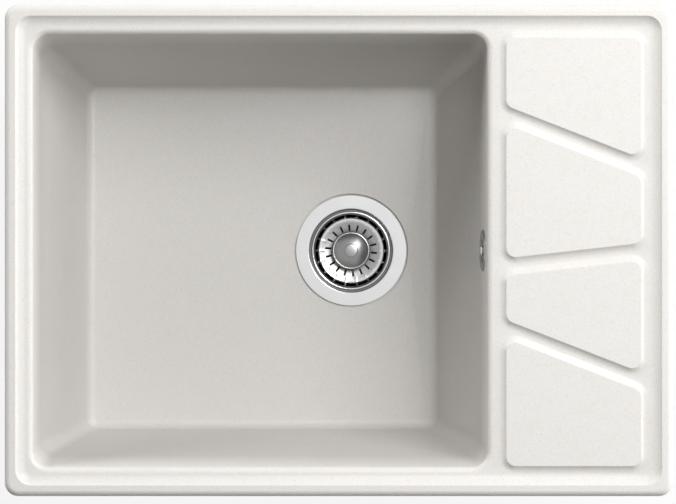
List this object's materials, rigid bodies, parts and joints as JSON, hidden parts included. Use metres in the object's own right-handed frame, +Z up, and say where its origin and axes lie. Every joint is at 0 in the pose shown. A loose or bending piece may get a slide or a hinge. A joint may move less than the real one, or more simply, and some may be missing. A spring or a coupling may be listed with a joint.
{
  "type": "kitchen sink with drainboard",
  "caption": "Inset kitchen sink: deep bowl and channelled drainboard in pale composite, with a basket strainer waste, a round overflow with its hose, and clamps that swing under the worktop.",
  "frame": {"origin": "centre of the rim's underside, which lies on the worktop", "axes": "+X along the sink towards the drainboard, +Y to its back edge, +Z up out of the bowl"},
  "size_m": [0.68, 0.5, 0.289],
  "materials": {
    "mineral_composite": "matte cast composite with fine warm speckles",
    "polished_steel": "polished stainless steel",
    "brushed_steel": "plain stainless steel",
    "zinc_steel": "zinc plated steel",
    "brass": "turned brass",
    "black_rubber": "moulded rubber",
    "white_plastic": "moulded polypropylene",
    "grey_plastic": "ribbed polyethylene hose",
    "black_plastic": "moulded sleeve"
  },
  "bodies": {
    "sink": {"sink_body": "mineral_composite", "flange_gasket": "black_rubber", "strainer_dish": "polished_steel", "centre_screw": "brushed_steel", "body_gasket": "black_rubber", "waste_body": "white_plastic", "waste_spider": "white_plastic", "waste_funnel": "white_plastic", "waste_insert": "brass", "overflow_rosette": "polished_steel", "rosette_screw": "polished_steel", "overflow_gasket": "black_rubber", "overflow_elbow": "white_plastic", "overflow_insert": "brass", "overflow_hose": "grey_plastic", "hose_collar_upper": "black_plastic", "hose_collar_lower": "black_plastic", "clamp_inserts": "brass", "clamp_screws": "zinc_steel"},
    "basket": {"strainer_basket": "polished_steel", "basket_bush": "white_plastic"},
    "plug": {"plug_knob": "polished_steel", "plug_stem": "brushed_steel", "plug_plate": "brushed_steel", "plug_seal": "black_rubber"},
    "clamp_1": {"clamp_bracket_1": "zinc_steel"},
    "clamp_2": {"clamp_bracket_2": "zinc_steel"},
    "clamp_3": {"clamp_bracket_3": "zinc_steel"},
    "clamp_4": {"clamp_bracket_4": "zinc_steel"},
    "clamp_5": {"clamp_bracket_5": "zinc_steel"},
    "clamp_6": {"clamp_bracket_6": "zinc_steel"},
    "clamp_7": {"clamp_bracket_7": "zinc_steel"},
    "clamp_8": {"clamp_bracket_8": "zinc_steel"}
  },
  "joints": [
    {"name": "basket_lift", "type": "slide", "parent": "sink", "child": "basket", "axis": [0, 0, 1], "range_m": [0, 0.24]},
    {"name": "plug_press", "type": "slide", "parent": "basket", "child": "plug", "axis": [0, 0, -1], "range_m": [0, 0.0073]},
    {"name": "clamp_1_swing", "type": "hinge", "parent": "sink", "child": "clamp_1", "pos_m": [0.323, -0.075, -0.057], "axis": [0, 0, 1], "range_deg": [0, 90]},
    {"name": "clamp_2_swing", "type": "hinge", "parent": "sink", "child": "clamp_2", "pos_m": [-0.323, -0.075, -0.057], "axis": [0, 0, 1], "range_deg": [0, 90]},
    {"name": "clamp_3_swing", "type": "hinge", "parent": "sink", "child": "clamp_3", "pos_m": [0.323, 0.075, -0.057], "axis": [0, 0, 1], "range_deg": [0, 90]},
    {"name": "clamp_4_swing", "type": "hinge", "parent": "sink", "child": "clamp_4", "pos_m": [-0.323, 0.075, -0.057], "axis": [0, 0, 1], "range_deg": [0, 90]},
    {"name": "clamp_5_swing", "type": "hinge", "parent": "sink", "child": "clamp_5", "pos_m": [-0.2, 0.233, -0.057], "axis": [0, 0, 1], "range_deg": [0, 90]},
    {"name": "clamp_6_swing", "type": "hinge", "parent": "sink", "child": "clamp_6", "pos_m": [-0.2, -0.233, -0.057], "axis": [0, 0, 1], "range_deg": [0, 90]},
    {"name": "clamp_7_swing", "type": "hinge", "parent": "sink", "child": "clamp_7", "pos_m": [0.11, 0.233, -0.057], "axis": [0, 0, 1], "range_deg": [0, 90]},
    {"name": "clamp_8_swing", "type": "hinge", "parent": "sink", "child": "clamp_8", "pos_m": [0.11, -0.233, -0.057], "axis": [0, 0, 1], "range_deg": [0, 90]}
  ]
}
